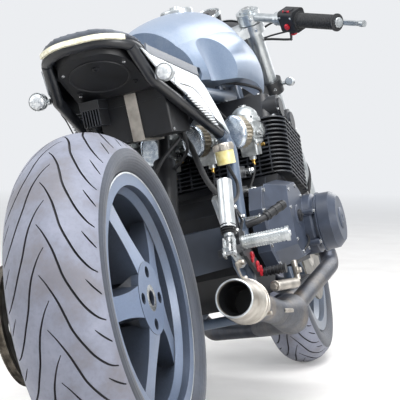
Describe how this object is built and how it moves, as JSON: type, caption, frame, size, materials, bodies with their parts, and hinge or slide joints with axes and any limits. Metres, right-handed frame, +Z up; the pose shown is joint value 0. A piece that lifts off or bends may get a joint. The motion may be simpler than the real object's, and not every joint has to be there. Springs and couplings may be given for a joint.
{
  "type": "cafe racer motorcycle",
  "caption": "Full-size cafe racer motorcycle leaning on its side stand, with a one-sided swingarm, finned four-cylinder engine, pod filters, clip-on bars and a short upswept seat.",
  "frame": {"origin": "bottom centre of the parked machine's bounding box, on the ground", "axes": "+X forwards along the machine, +Y to the rider's left, +Z up; the machine leans to +Y on its side stand and its front wheel is turned a little to the left"},
  "size_m": [2.0943, 0.7498, 0.9122],
  "materials": {
    "black_frame": "grey-blue satin frame paint",
    "tank_silver": "satin silver-grey tank paint",
    "panel_white": "satin off-white side panels",
    "seat_grey": "grey seat cover, stitched",
    "tyre_rubber": "worn road tyre",
    "wheel_graphite": "satin graphite cast wheel",
    "wheel_silver": "cast silver wheel",
    "disc_steel": "brushed brake disc",
    "steel": "brushed steel",
    "chain_steel": "oiled chain steel",
    "bright_alloy": "satin alloy",
    "cast_alloy": "cast carburettor alloy",
    "engine_black": "satin black engine paint",
    "engine_graphite": "satin graphite engine covers",
    "chrome": "polished pod filter end",
    "header_steel": "heat-darkened exhaust pipe",
    "black_plastic": "black plastic",
    "grip_rubber": "black grip rubber",
    "reservoir_plastic": "yellowed reservoir plastic",
    "lamp_glass": "clear lens",
    "led_white": "white rear light strip"
  },
  "bodies": {
    "chassis": {"frame": "black_frame", "subframe": "black_frame", "swingarm": "engine_graphite", "crankcase": "engine_black", "engine_covers": "engine_graphite", "cylinders": "engine_black", "cam_cover": "engine_black", "carburettors": "cast_alloy", "air_filters": "chrome", "exhaust_headers": "header_steel", "muffler": "steel", "tank": "tank_silver", "seat": "seat_grey", "tank_cap": "bright_alloy", "tail_tray": "black_plastic", "battery_box": "black_plastic", "battery_strap": "steel", "regulator": "engine_black", "tail_light": "led_white", "side_panels": "panel_white", "rear_indicators": "bright_alloy", "shock_absorber": "steel", "chain": "chain_steel", "rear_caliper": "engine_black", "footrests": "bright_alloy", "brake_pedal": "engine_black", "shift_lever": "engine_black", "rear_master_cylinder": "bright_alloy", "rear_reservoir": "reservoir_plastic"},
    "front_end": {"fork_legs": "bright_alloy", "yokes": "bright_alloy", "front_calipers": "engine_black", "handlebars": "bright_alloy", "grips": "grip_rubber", "switchgear": "black_plastic", "levers": "bright_alloy", "headlight": "engine_black", "headlight_lens": "lamp_glass", "gauge": "black_plastic", "front_indicators": "bright_alloy"},
    "front_wheel": {"front_tyre": "tyre_rubber", "front_wheel": "wheel_silver", "front_discs": "disc_steel"},
    "rear_wheel": {"rear_tyre": "tyre_rubber", "rear_wheel": "wheel_graphite", "rear_spindle": "steel", "rear_disc": "disc_steel", "rear_sprocket": "steel"},
    "side_stand": {"side_stand": "black_frame"}
  },
  "joints": [
    {"name": "rear_wheel_spin", "type": "hinge", "parent": "chassis", "child": "rear_wheel", "pos_m": [-0.73221, -0.09696, 0.30928], "axis": [-0.0003, 0.9728, -0.2317], "continuous": true},
    {"name": "steering", "type": "hinge", "parent": "chassis", "child": "front_end", "pos_m": [0.44514, 0.02167, 0.80569], "axis": [-0.4372, 0.2083, 0.8749], "range_deg": [-30, 22]},
    {"name": "front_wheel_spin", "type": "hinge", "parent": "front_end", "child": "front_wheel", "pos_m": [0.74767, -0.09762, 0.29203], "axis": [-0.063, 0.9633, -0.2608], "continuous": true},
    {"name": "side_stand_fold", "type": "hinge", "parent": "chassis", "child": "side_stand", "pos_m": [-0.08243, 0.01378, 0.14327], "axis": [-0.0962, 0.8247, 0.5574], "range_deg": [0, 98]}
  ]
}
